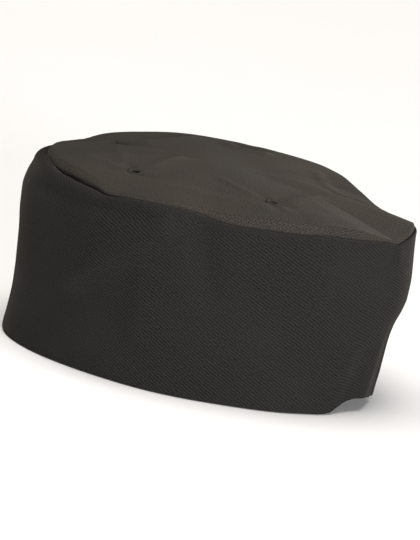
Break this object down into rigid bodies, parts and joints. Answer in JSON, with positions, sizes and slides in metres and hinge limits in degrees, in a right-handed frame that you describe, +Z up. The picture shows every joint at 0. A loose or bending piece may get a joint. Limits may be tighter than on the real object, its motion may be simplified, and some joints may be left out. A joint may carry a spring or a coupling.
{
  "type": "chef toque",
  "caption": "Low soft pillbox chef toque in black twill, with a folded side band, an elasticated back and a puffed crown with embroidered vent eyelets.",
  "frame": {"origin": "centre of the head opening on the plane of the hem", "axes": "+Z up through the crown, -Y towards the forehead, +Y towards the elasticated back, +X to the wearer's left"},
  "size_m": [0.166, 0.2, 0.1051],
  "materials": {
    "twill": "matte polyester-cotton twill, black",
    "thread": "spun polyester sewing thread, black",
    "eyelet_thread": "embroidery thread, satin, black",
    "interlining": "fusible nonwoven, off-white",
    "elastic": "woven elastic tape, black",
    "towelling": "looped cotton towelling, black",
    "binding": "bias-cut plain weave tape, black",
    "label": "blank satin ribbon, off-white"
  },
  "bodies": {
    "hat": {"side_band": "twill", "band_interlining": "interlining", "sweatband": "towelling", "sweatband_thread": "thread", "side_seam_thread_left": "thread", "side_seam_thread_right": "thread", "crown_panel": "twill", "crown_seam_binding": "binding", "binding_thread": "thread", "eyelet_1": "eyelet_thread", "eyelet_2": "eyelet_thread", "eyelet_3": "eyelet_thread", "eyelet_4": "eyelet_thread", "eyelet_5": "eyelet_thread", "care_label": "label"},
    "back": {"back_panel": "twill", "back_elastic": "elastic", "casing_thread": "thread"}
  },
  "joints": [
    {"name": "back_stretch", "type": "hinge", "parent": "hat", "child": "back", "pos_m": [0, 0.0973, 0.0917], "axis": [1, 0, 0], "range_deg": [0, 8], "stiffness_Nm_per_rad": 1}
  ]
}
